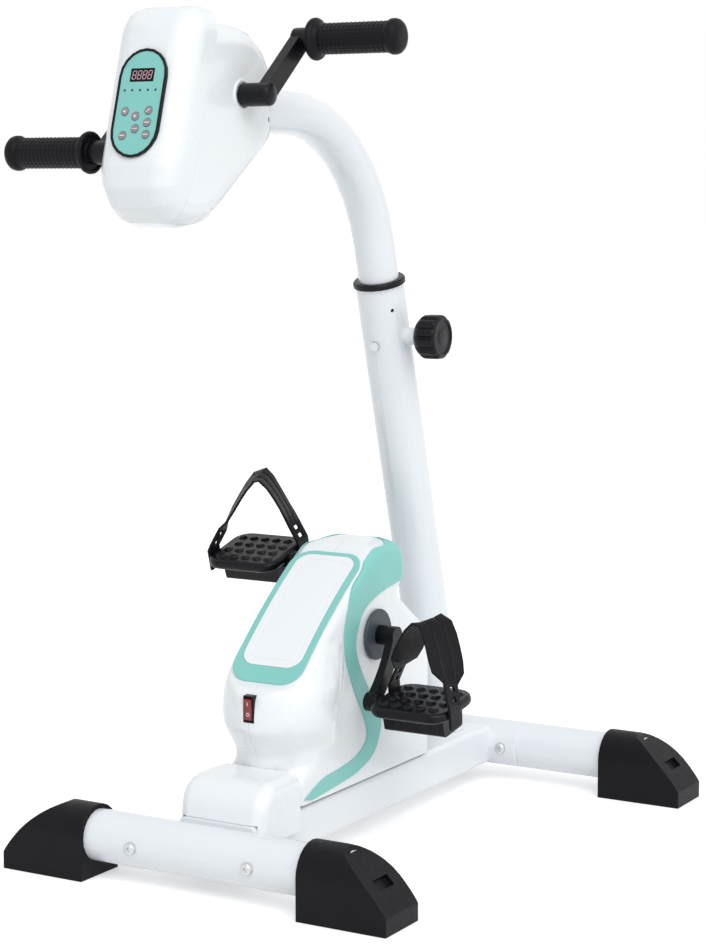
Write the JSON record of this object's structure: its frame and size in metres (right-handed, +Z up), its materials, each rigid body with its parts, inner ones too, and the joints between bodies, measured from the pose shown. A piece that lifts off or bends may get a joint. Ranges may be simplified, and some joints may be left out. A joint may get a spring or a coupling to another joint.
{
  "type": "mini exercise bike",
  "caption": "Motorised pedal trainer with a foot crank in a drive housing and a height-adjustable mast carrying a hand crank and console.",
  "frame": {"origin": "centre of the footprint of the bounding box, on the floor", "axes": "+Z up, +X to the seated user's right, +Y away from the user, who sits at -Y"},
  "size_m": [0.643, 0.8018, 0.973],
  "materials": {
    "white_paint": "gloss",
    "white_plastic": "gloss",
    "aqua_plastic": "satin",
    "black_rubber": "matt",
    "black_plastic": "satin",
    "grey_plastic": "matt",
    "key_plastic": "satin",
    "display": "gloss",
    "bright_steel": "zinc plated",
    "motor_steel": "matt",
    "switch_red": "gloss"
  },
  "bodies": {
    "base": {"main_beam": "white_paint", "front_bar": "white_paint", "rear_bar": "white_paint", "front_foot_left": "black_rubber", "front_foot_right": "black_rubber", "rear_foot_left": "black_rubber", "rear_foot_right": "black_rubber", "front_bolt_left": "bright_steel", "front_bolt_right": "bright_steel", "rear_bolt_left": "bright_steel", "rear_bolt_right": "bright_steel", "mast_tube": "white_paint", "mast_bushing": "black_plastic", "mast_screw": "bright_steel", "housing_left": "white_plastic", "housing_right": "white_plastic", "nose_cover": "white_plastic", "swoosh_trim": "aqua_plastic", "deck_frame": "aqua_plastic", "deck_panel": "white_plastic", "switch_frame": "black_plastic", "power_inlet": "black_plastic", "foot_bearing_left": "bright_steel", "foot_bearing_right": "bright_steel", "drive_belt": "black_rubber", "motor": "motor_steel"},
    "column": {"curved_tube": "white_paint", "head_fascia": "white_plastic", "head_shell_left": "white_plastic", "head_shell_right": "white_plastic", "console_bezel": "black_plastic", "console_panel": "aqua_plastic", "display_window": "display", "hand_gearbox": "motor_steel"},
    "hand_crank": {"hand_axle": "bright_steel", "hand_arm_left": "black_plastic", "hand_arm_right": "black_plastic"},
    "left_grip": {"grip_left": "black_rubber"},
    "right_grip": {"grip_right": "black_rubber"},
    "foot_crank": {"foot_axle": "bright_steel", "drive_pulley": "grey_plastic", "foot_disc_left": "grey_plastic", "foot_disc_right": "grey_plastic", "foot_arm_left": "black_plastic", "foot_arm_right": "black_plastic"},
    "left_pedal": {"pedal_left": "black_plastic", "pedal_strap_left": "black_rubber"},
    "right_pedal": {"pedal_right": "black_plastic", "pedal_strap_right": "black_rubber"},
    "motor_rotor": {"motor_pulley": "bright_steel"},
    "plunger": {"adjust_pin": "bright_steel"},
    "knob": {"adjust_knob": "black_plastic"},
    "rocker": {"switch_rocker": "switch_red"},
    "key_one": {"key_1": "key_plastic"},
    "key_two": {"key_2": "key_plastic"},
    "key_three": {"key_3": "key_plastic"},
    "key_four": {"key_4": "key_plastic"},
    "key_five": {"key_5": "key_plastic"},
    "key_six": {"key_6": "key_plastic"},
    "key_seven": {"key_7": "key_plastic"}
  },
  "joints": [
    {"name": "column_height", "type": "slide", "parent": "base", "child": "column", "axis": [0, -0.2706, 0.9627], "range_m": [-0.03, 0.09]},
    {"name": "hand_crank_spin", "type": "hinge", "parent": "column", "child": "hand_crank", "pos_m": [0, -0.2631, 0.8825], "axis": [1, 0, 0], "continuous": true},
    {"name": "left_grip_spin", "type": "hinge", "parent": "hand_crank", "child": "left_grip", "pos_m": [0, -0.33598, 0.82156], "axis": [1, 0, 0], "continuous": true},
    {"name": "right_grip_spin", "type": "hinge", "parent": "hand_crank", "child": "right_grip", "pos_m": [0, -0.19022, 0.94344], "axis": [1, 0, 0], "continuous": true},
    {"name": "foot_crank_spin", "type": "hinge", "parent": "base", "child": "foot_crank", "pos_m": [0, 0.0173, 0.2512], "axis": [1, 0, 0], "continuous": true},
    {"name": "left_pedal_spin", "type": "hinge", "parent": "foot_crank", "child": "left_pedal", "pos_m": [0, 0.06861, 0.32183], "axis": [1, 0, 0], "continuous": true},
    {"name": "right_pedal_spin", "type": "hinge", "parent": "foot_crank", "child": "right_pedal", "pos_m": [0, -0.03401, 0.18057], "axis": [1, 0, 0], "continuous": true},
    {"name": "motor_spin", "type": "hinge", "parent": "base", "child": "motor_rotor", "pos_m": [0, -0.0861, 0.15], "axis": [1, 0, 0], "continuous": true},
    {"name": "plunger_pull", "type": "slide", "parent": "base", "child": "plunger", "axis": [1, 0, 0], "range_m": [0, 0.008], "stiffness_N_per_m": 600},
    {"name": "knob_turn", "type": "hinge", "parent": "plunger", "child": "knob", "pos_m": [0, 0.13874, 0.60207], "axis": [1, 0, 0], "range_deg": [0, 360]},
    {"name": "rocker_tip", "type": "hinge", "parent": "base", "child": "rocker", "pos_m": [0, -0.1771, 0.1915], "axis": [1, 0, 0], "range_deg": [-9, 0]},
    {"name": "key_1_press", "type": "slide", "parent": "column", "child": "key_one", "axis": [0, 0.9593, -0.2823], "range_m": [0, 0.0008], "stiffness_N_per_m": 400},
    {"name": "key_2_press", "type": "slide", "parent": "column", "child": "key_two", "axis": [0, 0.9593, -0.2823], "range_m": [0, 0.0008], "stiffness_N_per_m": 400},
    {"name": "key_3_press", "type": "slide", "parent": "column", "child": "key_three", "axis": [0, 0.9593, -0.2823], "range_m": [0, 0.0008], "stiffness_N_per_m": 400},
    {"name": "key_4_press", "type": "slide", "parent": "column", "child": "key_four", "axis": [0, 0.9593, -0.2823], "range_m": [0, 0.0008], "stiffness_N_per_m": 400},
    {"name": "key_5_press", "type": "slide", "parent": "column", "child": "key_five", "axis": [0, 0.9593, -0.2823], "range_m": [0, 0.0008], "stiffness_N_per_m": 400},
    {"name": "key_6_press", "type": "slide", "parent": "column", "child": "key_six", "axis": [0, 0.9593, -0.2823], "range_m": [0, 0.0008], "stiffness_N_per_m": 400},
    {"name": "key_7_press", "type": "slide", "parent": "column", "child": "key_seven", "axis": [0, 0.9593, -0.2823], "range_m": [0, 0.0008], "stiffness_N_per_m": 400}
  ],
  "couplings": [
    {"joint": "motor_spin", "follows": "foot_crank_spin", "ratio": 4.4545}
  ]
}
